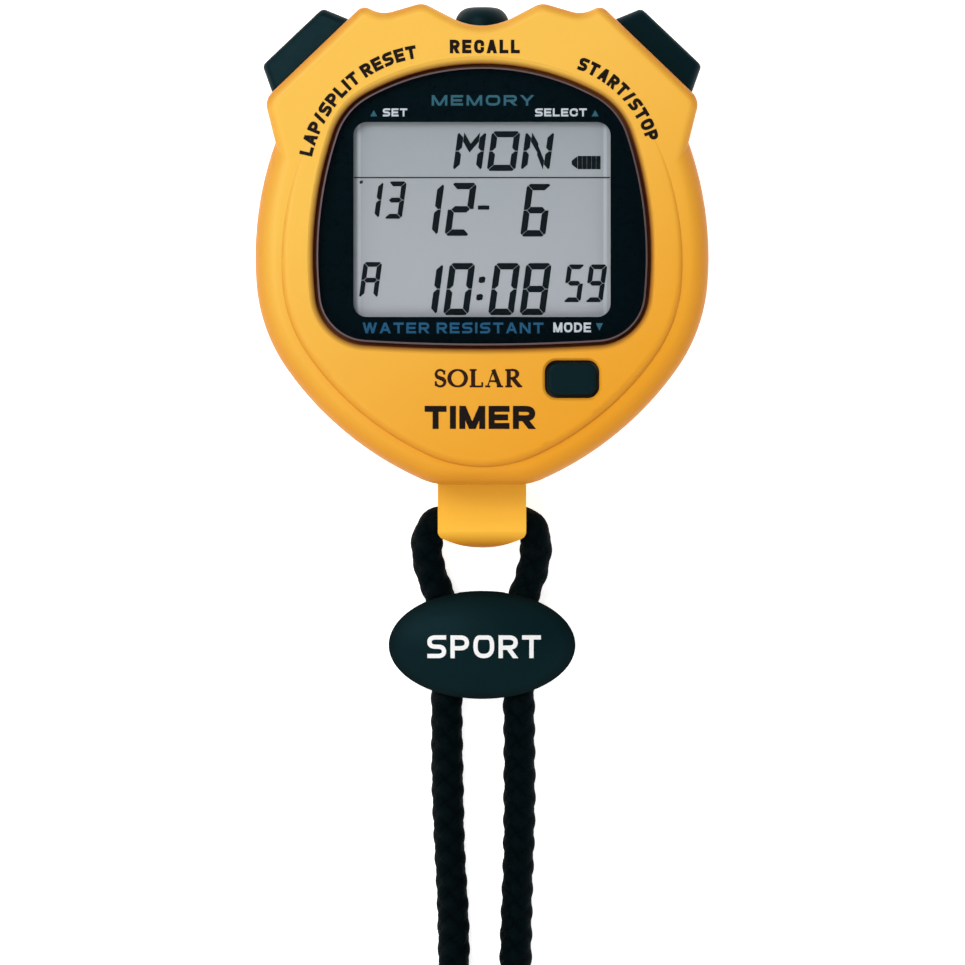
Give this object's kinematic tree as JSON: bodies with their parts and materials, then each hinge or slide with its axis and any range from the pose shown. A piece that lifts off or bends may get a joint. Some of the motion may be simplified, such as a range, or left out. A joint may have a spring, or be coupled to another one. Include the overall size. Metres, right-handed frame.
{
  "type": "digital stopwatch",
  "caption": "Pocket digital stopwatch with a crown of sprung keys, a wide display window, and a braided neck lanyard with an oval cord slider.",
  "frame": {"origin": "middle of the case's outline, on the plane that the back rests on", "axes": "+Z out of the face, +Y towards the top keys, +X to the right of the face"},
  "size_m": [0.065, 0.2194, 0.0204],
  "materials": {
    "case_yellow": "satin moulded plastic",
    "lens_clear": "clear hard-coated acrylic",
    "mask_black": "black printed film",
    "solar_brown": "dark amorphous cell",
    "display_glass": "thin cell glass",
    "display_film": "grey polarizing film",
    "display_silver": "matt silver film",
    "board_green": "solder-masked laminate",
    "chip_black": "epoxy",
    "nickel": "nickel plated",
    "ceramic_tan": "fired ceramic",
    "brass": "plain",
    "frame_white": "moulded",
    "zebra_rubber": "layered conductive rubber",
    "seal_rubber": "soft",
    "key_black": "satin",
    "spring_steel": "bright",
    "cord_black": "braided polyester",
    "tie_black": "woven hook-and-loop",
    "sleeve_black": "shrunk sleeve",
    "slider_black": "satin moulding",
    "grip_rubber": "soft"
  },
  "bodies": {
    "case": {"battery_cell": "nickel", "battery_strap": "nickel", "board_capacitors": "ceramic_tan", "buzzer_ceramic": "ceramic_tan", "buzzer_plate": "brass", "buzzer_spring": "spring_steel", "case_gasket": "seal_rubber", "case_screws": "spring_steel", "circuit_board": "board_green", "display_glass_front": "display_glass", "display_glass_rear": "display_glass", "display_mask": "mask_black", "display_polarizer": "display_film", "display_reflector": "display_silver", "front_case": "case_yellow", "key_contacts": "nickel", "lanyard_coil": "cord_black", "lanyard_cord": "cord_black", "lanyard_joint": "sleeve_black", "lanyard_tie": "tie_black", "lap_reset_bush": "brass", "lap_reset_seal": "seal_rubber", "lap_reset_spring": "spring_steel", "lens": "lens_clear", "lens_seal": "seal_rubber", "mode_spring": "spring_steel", "module_frame": "frame_white", "module_screws": "nickel", "processor_chip": "chip_black", "quartz_crystal": "nickel", "rear_case": "case_yellow", "recall_bush": "brass", "recall_seal": "seal_rubber", "recall_spring": "spring_steel", "solar_panel": "solar_brown", "start_stop_bush": "brass", "start_stop_seal": "seal_rubber", "start_stop_spring": "spring_steel", "zebra_strips": "zebra_rubber"},
    "start_stop_key": {"start_stop_button": "key_black", "start_stop_clip": "spring_steel"},
    "lap_reset_key": {"lap_reset_button": "key_black", "lap_reset_clip": "spring_steel"},
    "recall_key": {"recall_button": "key_black", "recall_clip": "spring_steel"},
    "mode_key": {"mode_button": "key_black", "mode_seal": "seal_rubber"},
    "cord_slider": {"slider_front": "slider_black", "slider_rear": "slider_black", "slider_grip": "grip_rubber"}
  },
  "joints": [
    {"name": "start_stop_press", "type": "slide", "parent": "case", "child": "start_stop_key", "axis": [-0.688, -0.7257, 0], "range_m": [0, 0.0012], "stiffness_N_per_m": 1200, "springref_m": -0.0006, "deforming": ["start_stop_spring"]},
    {"name": "lap_reset_press", "type": "slide", "parent": "case", "child": "lap_reset_key", "axis": [0.688, -0.7257, 0], "range_m": [0, 0.0012], "stiffness_N_per_m": 1200, "springref_m": -0.0006, "deforming": ["lap_reset_spring"]},
    {"name": "recall_press", "type": "slide", "parent": "case", "child": "recall_key", "axis": [0, -1, 0], "range_m": [0, 0.001], "stiffness_N_per_m": 1100, "springref_m": -0.0006, "deforming": ["recall_spring"]},
    {"name": "mode_press", "type": "slide", "parent": "case", "child": "mode_key", "axis": [0, 0, -1], "range_m": [0, 0.0008], "stiffness_N_per_m": 900, "springref_m": -0.0006, "deforming": ["mode_spring"]},
    {"name": "slider_slide", "type": "slide", "parent": "case", "child": "cord_slider", "axis": [0, 1, 0], "range_m": [-0.016, 0]}
  ]
}
